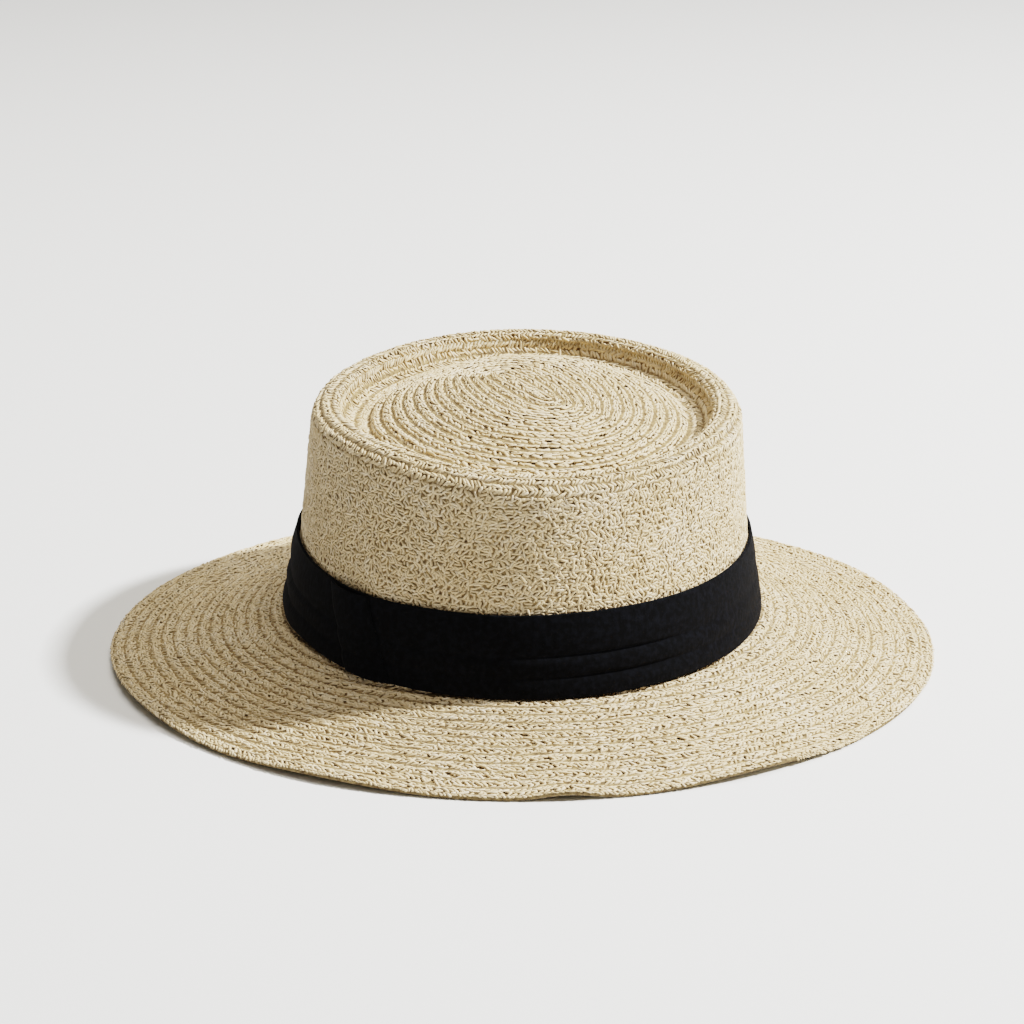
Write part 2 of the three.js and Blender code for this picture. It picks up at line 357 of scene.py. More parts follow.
def arc_lengths(points):
    """How far each point of a path is from its first one."""
    return np.concatenate([[0], np.cumsum(np.linalg.norm(np.diff(points, axis=0), axis=1))])


CROWN_SECTION = crown_section()
CROWN_ARC = arc_lengths(CROWN_SECTION)
# The section's first points, across the dome, the well and the crest's inner side
TIP_SECTION = CROWN_SECTION[: 3 * BEND_POINTS]
GROOVE_ARC = float(CROWN_ARC[BEND_POINTS])
BAND_TOP_ARC = float(CROWN_ARC[-2])
SHOULDER_ARC = float(CROWN_ARC[-3])


def on_crown(arc, angle):
    """A point of the crown's outer side, by how far it is from the middle of the tip along the section."""
    half = np.interp(arc, CROWN_ARC, CROWN_SECTION[:, 0])
    level = np.interp(arc, CROWN_ARC, CROWN_SECTION[:, 1])
    return hat_point(half, angle, level)


# The tip's rows start from a slanting crease, and turn into the groove's oval on their way out.
# x and y are the crease's middle and turn its slant from +Y toward -X.
CREASE = {"x": -1.6, "y": 5.4, "turn": 29.6, "straightness": 1.6}
TIP_TIGHTNESS = 0.95


def on_tip(reach, angle):
    """A point of the tip, by how far its row is from the crease. Angle 0 is the crease's back end."""
    share = np.clip(reach / GROOVE_HALF, 0, 1)
    turn = math.radians(CREASE["turn"]) * (1 - share)
    crease = np.clip(CREASE["straightness"] * np.cos(angle), -1, 1)
    along = OVAL_EXTRA / 2 * mixed(crease, np.cos(angle), share) + reach * np.cos(angle)
    across = reach * np.sin(angle)
    x = CREASE["x"] * (1 - share) - along * np.sin(turn) - across * np.cos(turn)
    y = CREASE["y"] * (1 - share) + along * np.cos(turn) - across * np.sin(turn)
    half = half_of(x, y)
    oval_angle = np.arctan2(y / (half + half_extra(half)), x / half)
    level = np.interp(half, TIP_SECTION[:, 0], TIP_SECTION[:, 1])
    return hat_point(half, oval_angle, level)


def half_of(x, y):
    """The half width of the oval that goes through a point of the plan, by halving the interval."""
    low = np.full_like(x, NARROWEST_HALF)
    high = np.full_like(x, BRIM_HALF)
    for _ in range(HALVINGS):
        middle = (low + high) / 2
        outside = (x / middle) ** 2 + (y / (middle + half_extra(middle))) ** 2 > 1
        low = np.where(outside, middle, low)
        high = np.where(outside, high, middle)
    return (low + high) / 2


def brim_level(share):
    """The brim's upper face: highest at the crown, and flatter toward the edge."""
    return mixed(BRIM_RISE, STRAW_THICKNESS, share) - BRIM_SAG * np.sin(np.pi * share)


def brim_point(half, angle, level):
    """A point of the brim, lifted more the nearer it is to the edge."""
    lift = EDGE_LIFT * waves(EDGE_LIFTS, angle)
    return hat_point(half, angle, level + lift * brim_share(half) ** 2)


# How far the brim's inner rows follow the crown's oval instead of the edge, and where that starts, in mm
OVAL_PULL = {"share": 0.3, "from": 12.0, "to": 55.0}


def brim_half_at(reach, angle):
    """The half width of a point of the brim's rows."""
    depth = np.maximum(-reach, 0)
    narrow = mixed(FRONT_REACH / SIDE_REACH, 1, np.cos(angle) ** 2)
    pull = OVAL_PULL["share"] * smooth_share(depth, OVAL_PULL["from"], OVAL_PULL["to"])
    return BRIM_TOP_HALF - depth / mixed(narrow, 1, pull)


def on_brim(reach, angle):
    """A point of the brim, by how far its row is from the edge: less than 0 on the upper face, and more
    than 0 round the edge."""
    half = brim_half_at(reach, angle)
    around = np.clip(reach / EDGE_ROUND, 0, math.pi)
    share = (half - FOOT_HALF) / (BRIM_TOP_HALF - FOOT_HALF)
    level = brim_level(share) - EDGE_ROUND * (1 - np.cos(around))
    return brim_point(half + EDGE_ROUND * np.sin(around), angle, level)


# Making objects


def linked(name, data):
    """A new object in the scene."""
    made = bpy.data.objects.new(name, data)
    bpy.context.scene.collection.objects.link(made)
    return made


def finished(mesh, materials, replaced=None):
    """Makes a mesh a piece of the hat, with its materials, its body and the solid it stands for."""
    piece = linked(mesh.name, mesh)
    for name in materials:
        mesh.materials.append(material_of(name))
    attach(piece, BODY)
    if replaced:
        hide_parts(replaced)
    return piece


def straw_strand():
    """One straw strand, 1 mm long, wide and high, lying along X: its corners and triangles."""
    shape = bmesh.new()
    bmesh.ops.create_uvsphere(shape, u_segments=STRAND_SIDES, v_segments=STRAND_RINGS, radius=0.5)
    bmesh.ops.rotate(shape, verts=shape.verts, cent=(0, 0, 0), matrix=Matrix.Rotation(math.pi / 2, 3, "Y"))
    bmesh.ops.triangulate(shape, faces=shape.faces)
    bmesh.ops.recalc_face_normals(shape, faces=shape.faces)
    corners = np.array([vertex.co[:] for vertex in shape.verts])
    triangles = np.array([[vertex.index for vertex in face.verts] for face in shape.faces])
    shape.free()
    return blunted(corners), triangles


def blunted(corners):
    """A ball's corners, moved to make its ends blunt and its sides straight, as a cut straw's are."""
    along = np.sign(corners[:, :1]) * 0.5 * np.abs(2 * corners[:, :1]) ** END_BLUNTNESS
    radius = np.linalg.norm(corners[:, 1:], axis=1, keepdims=True)
    wider = 0.5 * (2 * radius) ** END_BLUNTNESS / np.maximum(radius, 1e-9)
    return np.concatenate([along, corners[:, 1:] * wider], axis=1)


def surface_frame(place, reach, angle):
    """Points of a surface with their outward normals and their speed per radian."""
    step, turn = 0.05, 0.001
    point = place(reach, angle)
    across = place(reach + step, angle) - place(reach - step, angle)
    along = place(reach, angle + turn) - place(reach, angle - turn)
    normal = np.cross(across, along)
    normal /= np.maximum(np.linalg.norm(normal, axis=-1, keepdims=True), 1e-9)
    return point, normal, np.linalg.norm(along, axis=-1) / (2 * turn)


def along_row(place, centre, first, last, step):
    """Evenly spaced angles along one row, whose distance out is a function of the angle."""
    points = int(abs(last - first) * ROW_POINTS_PER_RADIAN)
    dense = np.linspace(first, last, max(LEAST_ROW_POINTS, points))
    walked = arc_lengths(place(centre(dense), dense))
    count = max(1, round(walked[-1] / step))
    return np.interp((np.arange(count) + 0.5) * walked[-1] / count, walked, dense)


def strand_places(place, rows, stitch):
    """How far out, at what angle and in which lane of its row each strand is. A row is a function from an
    angle to how far out its middle is, with its first and last angle."""
    reaches, angles, lanes = [], [], []
    for centre, first, last in rows:
        row_angles = along_row(place, centre, first, last, stitch["step"])
        for lane in range(stitch["lanes"]):
            shift = (lane / stitch["lanes"]) * (row_angles[1] - row_angles[0])
            reaches.append(centre(row_angles))
            angles.append(row_angles + shift)
            lanes.append(np.full(len(row_angles), lane))
    return [np.concatenate(parts) for parts in (reaches, angles, lanes)]


def drift(reach, angle):
    """How far neighbouring strands stray together, from -1 to 1."""
    return np.prod([
        np.sin(wave["turns"] * angle + reach / wave["reach"] + wave["start"]) for wave in DRIFT_WAVES
    ], axis=0)


def scattered(corners, stitch, lane, slow, rng):
    """Each strand's corners in its own size, and where they are along, across and above its row."""
    settings = bpy.context.scene.boater_braid
    looseness = settings.looseness

    def draws(spread):
        """One draw for each strand."""
        return rng.normal(0, spread, lane.shape)

    stray_turn = stitch["scatter"] * looseness * (slow + draws(1))
    turn = np.radians(stitch["tilt"] * np.where(lane % 2 == 0, 1, -1) + stray_turn)
    length, width, height = (
        stitch[name] * (1 + draws(UNEVEN[name] * looseness)) for name in ("length", "width", "height")
    )
    stray_along = draws(UNEVEN["along"] * looseness * stitch["step"])
    stray_across = draws(UNEVEN["across"] * looseness) + UNEVEN["drift"] * looseness * slow
    sunk = draws(UNEVEN["sunk"] * looseness)
    x, y = corners[:, 0] * length, corners[:, 1] * width
    z = corners[:, 2] * height - settings.end_dip / MM * (2 * corners[:, 0]) ** 2
    along = x * np.cos(turn) - y * np.sin(turn) + stray_along
    across = x * np.sin(turn) + y * np.cos(turn) + stray_across
    return x, y, along, across, z - settings.strand_sink / MM + sunk


def laid_strands(name, place, rows, stitch, rng, keep=None):
    """A mesh of strands laid along rows of a surface, where keep says that one goes."""
    pitch = bpy.context.scene.boater_braid.row_pitch / MM
    reach, angle, lane = strand_places(place, rows, stitch)
    middle = (lane - (stitch["lanes"] - 1) / 2) * stitch["spread"] * pitch / stitch["lanes"]
    kept = keep(reach + middle, angle) if keep else slice(None)
    reach, angle, lane, middle = (part[kept, None] for part in (reach, angle, lane, middle))
    corners, triangles = straw_strand()
    x, y, along, across, z = scattered(corners, stitch, lane, drift(reach, angle), rng)
    across = across + middle
    z = z + stitch["relief"] * np.cos(2 * np.pi * across / pitch)
    speed = surface_frame(place, reach, angle)[2]
    point, normal, _ = surface_frame(place, reach + across, angle + along / speed)
    point = (point + normal * z[..., None]).reshape(-1, 3)
    faces = (triangles + (np.arange(len(reach)) * len(corners))[:, None, None]).reshape(-1, 3)
    mesh = bpy.data.meshes.new(name)
    mesh.from_pydata((point * MM).tolist(), [], faces.tolist())
    mesh.shade_smooth()
    # Painted shade: how much the straw is browned where two rows meet, and how much each strand's low
    # corners are
    valley_shade = stitch["gap"] * smooth_share(2 * np.abs(across) / pitch, VALLEY_START, 1.0)
    depth = np.tile(stitch["shade"] * (0.5 - corners[:, 2]), len(reach))
    add_strand_attributes(mesh, x, y, depth, valley_shade, rng)
    return mesh


def read_values(items, name, kind, parts=1):
    """One property of all of a mesh's corners, loops or faces."""
    values = np.empty(len(items) * parts, kind)
    items.foreach_get(name, values)
    return values


def read_points(mesh):
    """A mesh's corners, as rows of an array."""
    return read_values(mesh.vertices, "co", np.float32, 3).reshape(-1, 3).astype(float)


def place_points(mesh, points):
    """Moves a mesh's corners to points in mm."""
    mesh.vertices.foreach_set("co", (points * MM).astype(np.float32).ravel())
    mesh.shade_smooth()
    mesh.update()


def add_strand_attributes(mesh, x, y, depth, valley_shade, rng):
    """Gives each strand its tone and fibre lines, and each corner its painted shade: how much it is browned
    for lying low on its strand and for lying where two rows meet."""
    count, corner_count = x.shape
    tone = np.repeat(rng.uniform(0, 1, count), corner_count)
    stray = rng.uniform(0, FIBRE_STRAY, (2, count, 1))
    fibre = np.stack([x + stray[0], y + stray[1]], -1).reshape(-1, 2)
    for name, values in (("tone", tone), ("depth", depth), ("valley_shade", valley_shade.ravel())):
        mesh.attributes.new(name, "FLOAT", "POINT").data.foreach_set("value", values.astype(np.float32))
    owner = read_values(mesh.loops, "vertex_index", np.int32)
    layer = mesh.uv_layers.new(name="fibre")
    layer.uv.foreach_set("vector", fibre[owner].astype(np.float32).ravel())


def rings(centres):
    """Closed rows whose middles stay at the given distances out."""
    return [(partial(np.full_like, fill_value=centre), 0.0, 2 * math.pi) for centre in centres]


def tucked_row():
    """The braid's last end, which shows below the edge and slips back into it."""
    first = math.radians(BRAID_END["turn"])
    last = first + math.radians(BRAID_END["spread"])

    def slipping(angle):
        """How far round the edge the middle of the row is."""
        return mixed(BRAID_END["from"], BRAID_END["to"], (angle - first) / (last - first))

    return slipping, first, last


def past_notch(reach, angle):
    """Whether places of the edge are clear of the notch before the braid's last end."""
    notch = BRAID_END["notch"]
    return np.abs(np.degrees(angle) % 360 - BRAID_END["turn"] + notch) > notch


def outside_crown(reach, angle):
    """Whether places of the brim are outside the crown's foot."""
    return brim_half_at(reach, angle) > FOOT_HALF


def spiral(first, last, pitch):
    """Rows that wind outward without a break."""
    turns = (last - first) / pitch

    def winding(angle):
        """How far out the middle of the winding row is."""
        return first + pitch * angle / (2 * math.pi)

    ends = [(turn, min(turn + 1, turns)) for turn in range(math.ceil(turns))]
    return [(winding, start * 2 * math.pi, end * 2 * math.pi) for start, end in ends]


def turned_wall(name, section, steps, place):
    """A closed wall from a closed section spun once round, with each vertex placed by a function.
    It gets a UV map in mm: how far round, and how far along the section."""
    shape = bmesh.new()
    corners = [shape.verts.new((half, 0, level)) for half, level in section]
    edges = [shape.edges.new(pair) for pair in zip(corners, corners[1:] + corners[:1])]
    if section[0][0] == 0:
        # A section that starts on the axis is closed by being turned
        shape.edges.remove(edges.pop())
    bmesh.ops.spin(
        shape, geom=corners + edges, cent=(0, 0, 0), axis=(0, 0, 1), dvec=(0, 0, 0),
        angle=2 * math.pi, steps=steps, use_merge=True, use_normal_flip=False, use_duplicate=False,
    )
    bmesh.ops.remove_doubles(shape, verts=shape.verts, dist=MERGE_DISTANCE)
    bmesh.ops.recalc_face_normals(shape, faces=shape.faces)
    mesh = bpy.data.meshes.new(name)
    shape.to_mesh(mesh)
    shape.free()
    x, y, level = read_points(mesh).T
    half = np.hypot(x, y)
    angle = np.arctan2(y, x)
    add_wall_map(mesh, np.array(section), half, angle, level)
    place_points(mesh, place(half, angle, level))
    return mesh


def add_wall_map(mesh, section, half, angle, level):
    """The UV map of a turned wall, in mm round the hat and along its section."""
    walked = arc_lengths(section)
    gap = (section[:, 0][None] - half[:, None]) ** 2 + (section[:, 1][None] - level[:, None]) ** 2
    along = walked[np.argmin(gap, axis=1)]
    owner = read_values(mesh.loops, "vertex_index", np.int32)
    start = read_values(mesh.polygons, "loop_start", np.int32)
    total = read_values(mesh.polygons, "loop_total", np.int32)
    # A face's corners keep within half a turn of its first one, where the angle starts again
    first = np.repeat(angle[owner[start]], total)
    own = angle[owner]
    own = own + 2 * math.pi * np.round((first - own) / (2 * math.pi))
    layer = mesh.uv_layers.new(name="rows")
    layer.uv.foreach_set("vector", np.stack([own * FOOT_HALF, along[owner]], -1).astype(np.float32).ravel())


# Straw walls


def offset_section(section, depth):
    """A section moved inward by a depth, which may be one number or one for each point."""
    tangent = np.gradient(section, axis=0)
    tangent /= np.linalg.norm(tangent, axis=1, keepdims=True)
    inward = np.stack([tangent[:, 1], -tangent[:, 0]], -1)
    return section + inward * np.broadcast_to(depth, len(section))[:, None]


def even_section(section, count):
    """A section's points at even steps along it."""
    walked = arc_lengths(section)
    at = np.linspace(0, walked[-1], count)
    return np.stack([np.interp(at, walked, section[:, 0]), np.interp(at, walked, section[:, 1])], -1)


def ribbed_inside(section, pitch):
    """The inner side of a wall, with a rib for each row of braid."""
    length = arc_lengths(section)[-1]
    count = POINTS_PER_RIB * round(length / pitch) + 1
    points = even_section(section, count)
    rib = np.cos(2 * np.pi * np.arange(count) / POINTS_PER_RIB)
    inner = STRAW_THICKNESS - BRAID_RELIEF / 2
    return offset_section(points, inner - BRAID_RELIEF / 2 * rib)


def crown_wall_mesh():
    """The crown's straw wall under its strands, ribbed on the inside."""
    settings = bpy.context.scene.boater_braid
    outer = even_section(CROWN_SECTION, CROWN_POINTS)
    ground = offset_section(outer, settings.ground_depth / MM)
    inside = ribbed_inside(CROWN_SECTION, settings.row_pitch / MM)[::-1]
    ground[0] = (0, DOME_LEVEL - settings.ground_depth / MM)
    inside[-1][0] = 0
    inside[0][1] = ground[-1][1] = FOOT_LEVEL
    section = [tuple(point) for point in (*ground, *inside)]
    return turned_wall("crown_wall", section, CROWN_STEPS, hat_point)


def brim_wall_mesh():
    """The brim's straw wall under its strands: the collar in the crown's foot, both faces and the edge."""
    settings = bpy.context.scene.boater_braid
    share = np.linspace(0, 1, BRIM_POINTS)
    upper = np.stack([mixed(FOOT_HALF, BRIM_TOP_HALF, share), brim_level(share)], -1)
    ground = offset_section(upper, settings.ground_depth / MM)
    under = ribbed_inside(upper, settings.row_pitch / MM)[::-1]
    slope = (FOOT_HALF - BAND_TOP_HALF) / (BAND_TOP_LEVEL - FOOT_LEVEL)
    inset = (STRAW_THICKNESS + CLEARANCE) * math.hypot(1, slope)
    foot = FOOT_HALF + slope * CLEARANCE - inset
    top = FOOT_HALF - slope * COLLAR_HEIGHT - inset
    collar = [(top - STRAW_THICKNESS, COLLAR_TOP_LEVEL), (top, COLLAR_TOP_LEVEL), (foot, BRIM_RISE)]
    edge = [(BRIM_HALF - EDGE_ROUND * inset, EDGE_ROUND * level) for inset, level in EDGE_SECTION]
    under = under[(under[:, 0] < BRIM_HALF - RIB_STOP["edge"]) & (under[:, 0] > foot + RIB_STOP["collar"])]
    inner_corner = [(foot - STRAW_THICKNESS, BRIM_RISE - STRAW_THICKNESS)]
    section = [tuple(point) for point in (*collar, *ground, *edge, *under, *inner_corner)]
    return turned_wall("brim_wall", section, BRIM_STEPS, brim_point)


def colour_inside(mesh):
    """Gives the inner straw's material to faces that look down or toward the middle of the hat."""
    for face in mesh.polygons:
        x, y, _ = face.center
        inward = x * face.normal.x + y * face.normal.y < 0
        inner = face.normal.z < -DOWNWARD or (inward and face.normal.z < DOWNWARD)
        face.material_index = 1 if inner else 0


# Cloth band


def wall_half(level):
    """Half of the crown wall's width, outside the straw, below the shoulder."""
    levels = [FOOT_LEVEL, BAND_TOP_LEVEL, SHOULDER_LEVEL]
    return np.interp(level, levels, [FOOT_HALF, BAND_TOP_HALF, SHOULDER_HALF])


def pleat_swell(height):
    """How far the band swells at a share of its height, as a share of the pleats' depth."""
    heights = column(BAND_SECTION, "height")
    swells = column(BAND_SECTION, "swell")
    index = np.clip(np.searchsorted(heights, height, side="right") - 1, 0, len(heights) - 2)
    share = np.clip((height - heights[index]) / (heights[index + 1] - heights[index]), 0, 1)
    rising = swells[index + 1] > swells[index]
    eased = np.where(rising, np.sin(share * np.pi / 2), 1 - np.cos(share * np.pi / 2))
    return mixed(swells[index], swells[index + 1], eased)


def band_point(outward, height, angle, extra=0.0):
    """A point of the band: how far out it is, from 0 at the crown to 1 at the face, and a share of its
    height. extra is added outside the band's own face."""
    top = BAND_TOP_LEVEL + BAND_EDGE_WAVE * waves(BAND_TOP_WAVES, angle)
    bottom = BAND_BOTTOM_LEVEL + BAND_EDGE_WAVE * waves(BAND_BOTTOM_WAVES, angle)
    level = mixed(bottom, top, height)
    degrees = np.degrees(angle) % 360
    fullness, smoothing = (
        np.interp(degrees, column(rows, "turn"), column(rows, "share"))
        for rows in (PLEAT_FULLNESS, PLEAT_SMOOTHING)
    )
    quarter_turn = np.clip(height, 0, 1) * np.pi / 2
    stretched = STRETCHED_SWELL["top"] + STRETCHED_SWELL["more"] * np.cos(quarter_turn)
    swell = PLEAT_DEPTH * mixed(pleat_swell(height), stretched, smoothing) * fullness
    inner = wall_half(np.minimum(level, BAND_TOP_LEVEL)) + CLEARANCE
    return hat_point(inner + outward * (CLOTH_THICKNESS + swell) + extra, angle, level)


def band_mesh():
    """The band: a closed ring of thin cloth with its pleats and folded edges."""
    face = [(1.0, height) for height in np.linspace(0, 1, BAND_POINTS)]
    back = [(BAND_BACK, height) for height in np.linspace(1, 0, BAND_BACK_POINTS)]
    section = [(BAND_TURN_HALF + outward, height) for outward, height in face + back]

    def place(half, angle, height):
        """Where a point of the turned section is. The creases are in the face alone."""
        outward = half - BAND_TURN_HALF
        on_face = outward > (1 + BAND_BACK) / 2
        wrinkle = band_wrinkles(height, angle) - band_creases(height, angle) * on_face
        return band_point(outward, height, angle, wrinkle)

    return turned_wall("band_cloth", section, BAND_STEPS, place)


def band_wrinkles(height, angle):
    """Small soft folds that run slanting round the band, in mm."""
    total = np.zeros_like(angle)
    for row in BAND_WRINKLES:
        folds = np.sin(row["count"] * angle + row["slant"] * height)
        total += row["rise"] * (folds * np.sin(row["swells"] * angle + row["start"]))
    return np.sin(np.pi * np.clip(height, 0, 1)) * total


def band_creases(height, angle):
    """How deep the sharp creases are, in mm."""
    depth = np.zeros_like(angle)
    for crease in BAND_CREASES:
        away = (height - crease["height"]) * BAND_HEIGHT / crease["width"]
        row = {"turn": crease["turn"], "spread": crease["spread"], "rise": crease["depth"]}
        depth += waves([row], angle) * np.exp(-(away**2))
    return depth


def loop_mesh():
    """The loop: a slanting strip of cloth over the band's join."""
    shape = bmesh.new()
    bmesh.ops.create_grid(shape, x_segments=LOOP_FACES[0], y_segments=LOOP_FACES[1], size=0.5)
    mesh = bpy.data.meshes.new("band_loop_cloth")
    layer = shape.loops.layers.uv.new("rows")
    for face in shape.faces:
        for corner in face.loops:
            x, y, _ = corner.vert.co
            corner[layer].uv = (x * LOOP_WIDTH, y * BAND_HEIGHT)
    shape.to_mesh(mesh)
    shape.free()
    x, y, _ = read_points(mesh).T
    across, height = 2 * x, y + 0.5
    mean_radius = FOOT_HALF + CLEARANCE + CLOTH_THICKNESS + PLEAT_DEPTH + OVAL_EXTRA / 4
    along = across * LOOP_WIDTH / 2 + (0.5 - height) * LOOP_SLANT
    angle = math.radians(LOOP_TURN) + along / mean_radius
    edge = mixed(CLEARANCE + CLOTH_THICKNESS, LOOP_EDGE, smooth_share(across, 0, 1))
    extra = edge + LOOP_FULLNESS * (1 - across**2)
    place_points(mesh, band_point(1.0, height, angle, extra))
    return mesh


# Materials


def add(tree, kind, inputs=None, **settings):
    """Adds a node, gives it its settings, and gives its inputs their values or links."""
    made = tree.nodes.new("ShaderNode" + kind)
    for name, value in settings.items():
        setattr(made, name, value)
    for name, value in (inputs or {}).items():
        if isinstance(value, bpy.types.NodeSocket):
            tree.links.new(value, made.inputs[name])
        else:
            made.inputs[name].default_value = value
    return made


def maths(tree, operation, *values):
    """The result of a sum of numbers or links."""
    return add(tree, "Math", dict(enumerate(values)), operation=operation).outputs[0]


def noise(tree, place, grains, detail=2.0):
    """A noise over a place, with so many grains to one unit of it."""
    inputs = {"Vector": place, "Scale": grains, "Detail": detail}
    return add(tree, "TexNoise", inputs).outputs["Fac"]


def object_place(tree):
    """A point's place in its object, in metres."""
    return add(tree, "TexCoord").outputs["Object"]


def scaled_map(tree, name, scale):
    """A UV map in mm, scaled along each of its ways."""
    uv_map = add(tree, "UVMap", uv_map=name).outputs["UV"]
    return add(tree, "Mapping", {"Vector": uv_map, "Scale": scale}).outputs[0]


def attribute(tree, name):
    """A value that the corners of the strands carry."""
    return add(tree, "Attribute", attribute_name=name).outputs["Fac"]


def relief(tree, height, strength, distance):
    """Normals bent by a height that isn't in the mesh."""
    inputs = {"Height": height, "Strength": strength, "Distance": distance}
    return add(tree, "Bump", inputs).outputs[0]


def ramp(tree, value, stops):
    """A colour ramp over a value, from pairs of place and colour."""
    made = add(tree, "ValToRGB", {"Fac": value})
    elements = made.color_ramp.elements
    while len(elements) < len(stops):
        elements.new(0.5)
    for element, (place, colour) in zip(elements, stops):
        element.position = place
        element.color = colour
    return made.outputs["Color"]


def opaque(colour):
    """A colour with full alpha."""
    return (*colour, 1.0)


def grey(value):
    """A grey from 0 for black to 1 for white."""
    return opaque([value] * 3)


def new_material(name):
    """A material and its empty tree."""
    material = bpy.data.materials.new(name)
    material.use_nodes = True
    material.node_tree.nodes.clear()
    return material, material.node_tree


def shaded(material, inputs):
    """A material with its shader, which gets its inputs."""
    shader = add(material.node_tree, "BsdfPrincipled", inputs)
    add(material.node_tree, "OutputMaterial", {"Surface": shader.outputs[0]})
    return material


def strand_material(name):
    """Plaited paper straw: flat twisted strands, matt with a faint waxy gleam. Painted shade makes them
    brown low down, where they dive under each other, and in dashes where two rows meet."""
    settings = bpy.context.scene.boater_braid
    material, tree = new_material(name)
    place = object_place(tree)
    lines = noise(tree, scaled_map(tree, "fibre", FIBRE_SCALE), 1.0)
    tone = maths(tree, "MULTIPLY", attribute(tree, "tone"), TONE_WEIGHT)
    tone = maths(tree, "MULTIPLY_ADD", lines, LINES_WEIGHT, tone)
    tone = maths(tree, "MULTIPLY_ADD", noise(tree, place, PATCH_GRAINS), PATCH_WEIGHT, tone)
    straw = ramp(tree, tone, [
        (0.1, linear(STRAW_WARM)), (0.5, opaque(settings.straw_colour)), (0.9, linear(STRAW_PALE)),
    ])
    # Painted shade: low corners of each strand, and dashes where rows meet, are mixed toward the shade
    # colour
    flank_shade = ramp(tree, attribute(tree, "depth"), [(0.3, grey(0.0)), (0.6, grey(1.0))])
    dashes = ramp(tree, noise(tree, place, DASH_GRAINS, 1.0), [(0.42, grey(0.2)), (0.56, grey(1.0))])
    deep = maths(tree, "MAXIMUM", flank_shade, maths(tree, "MULTIPLY", attribute(tree, "valley_shade"), dashes))
    # A mix node's inputs 0, 6 and 7 are its factor and its two colours, and output 2 is the mixed one
    mix_inputs = {0: deep, 6: straw, 7: opaque(settings.painted_shade_colour)}
    return shaded(material, {
        "Base Color": add(tree, "Mix", mix_inputs, data_type="RGBA").outputs[2],
        "Normal": relief(tree, lines, 0.35, 0.0002),
        "Roughness": 0.6, "IOR": 1.45, "Specular IOR Level": 0.6,
    })


def ground_material(name):
    """The straw under the strands, seen in the gaps: dull, and mottled between two browns that are painted
    shade for the deep gaps.
    """
    material, tree = new_material(name)
    mottle = noise(tree, object_place(tree), MOTTLE_GRAINS)
    colour = ramp(tree, mottle, [(0.35, linear(GROUND_SHADE_DARK)), (0.65, linear(GROUND_SHADE_PALE))])
    return shaded(material, {"Base Color": colour, "Roughness": 0.9})


def inner_material(name):
    """The inner side of the braid: the same paper straw, pressed flat. The slant of its strands turns over
    from one half of a row to the other. Painted shade darkens the grooves between its strands and their
    sides."""
    material, tree = new_material(name)
    rows = add(tree, "UVMap", uv_map="rows").outputs["UV"]
    ways = add(tree, "SeparateXYZ", {"Vector": rows}).outputs
    half_rows = maths(tree, "MULTIPLY", ways["Y"], 1 / INNER_ROWS["half_row"])
    zigzag = maths(tree, "PINGPONG", half_rows, 1.0)
    slid = maths(tree, "MULTIPLY_ADD", zigzag, INNER_ROWS["slant"], ways["X"])
    strands = maths(tree, "SINE", maths(tree, "MULTIPLY", slid, 2 * math.pi / INNER_ROWS["strand"]))
    level = maths(tree, "MULTIPLY_ADD", strands, 0.5, 0.5)
    # Painted shade: the lower the pressed strand's surface, the darker its colour
    colour = ramp(tree, level, [
        (0.0, linear(INNER_GROOVE_SHADE)), (0.3, linear(INNER_SIDE_SHADE)), (1.0, linear(INNER_STRAND)),
    ])
    return shaded(material, {
        "Base Color": colour, "Normal": relief(tree, level, 0.6, 0.0004), "Roughness": 0.8,
    })


def cloth_material(name):
    """Black cotton cloth in a plain weave: matt, near black, with a soft grey bloom at a slant and some
    lint. Its threads run both ways, thicker and thinner, so each way is a noise drawn out along it."""
    settings = bpy.context.scene.boater_band
    material, tree = new_material(name)
    per_thread = MM / settings.thread_pitch
    drawn = per_thread / THREAD_DRAW
    scales = ((per_thread, drawn, 1.0), (drawn, per_thread, 1.0))
    weave = maths(tree, "ADD", *(noise(tree, scaled_map(tree, "rows", scale), 1.0) for scale in scales))
    lint = noise(tree, object_place(tree), LINT_GRAINS, 4.0)
    height = maths(tree, "MULTIPLY_ADD", weave, 0.5, lint)
    return shaded(material, {
        "Base Color": ramp(tree, lint, [(0.42, opaque(settings.cloth_colour)), (0.7, linear(LINT_COLOUR))]),
        "Normal": relief(tree, height, 0.6, 0.0003), "Roughness": 0.9, "Specular IOR Level": 0.04,
        "Sheen Weight": 0.015, "Sheen Roughness": 0.5,
    })


def floor_material(name):
    """A plain pale painted surface, matt."""
    material, _ = new_material(name)
    colour = opaque(bpy.context.scene.boater_stage.floor_colour)
    return shaded(material, {"Base Color": colour, "Roughness": 0.85})


MATERIALS = {
    "plaited_paper_straw": strand_material,
    "shaded_straw_ground": ground_material,
    "pressed_straw_inner_side": inner_material,
    "black_cotton_plain_weave": cloth_material,
    "pale_matt_paint": floor_material,
}


def material_of(name):
    """The material of a name, made once."""
    return bpy.data.materials.get(name) or MATERIALS[name](name)


# Settings


def number(name, description, default, **options):
    """A setting that is a number."""
    return bpy.props.FloatProperty(name=name, description=description, default=default, **options)


def length(name, description, default):
    """A setting that is a length, in metres."""
    return number(name, description, default, unit="LENGTH", precision=5)


def colour(name, description, default):
    """A setting that is a colour, from its hex value."""
    return bpy.props.FloatVectorProperty(
        name=name, description=description, default=linear(default)[:3], subtype="COLOR"
    )


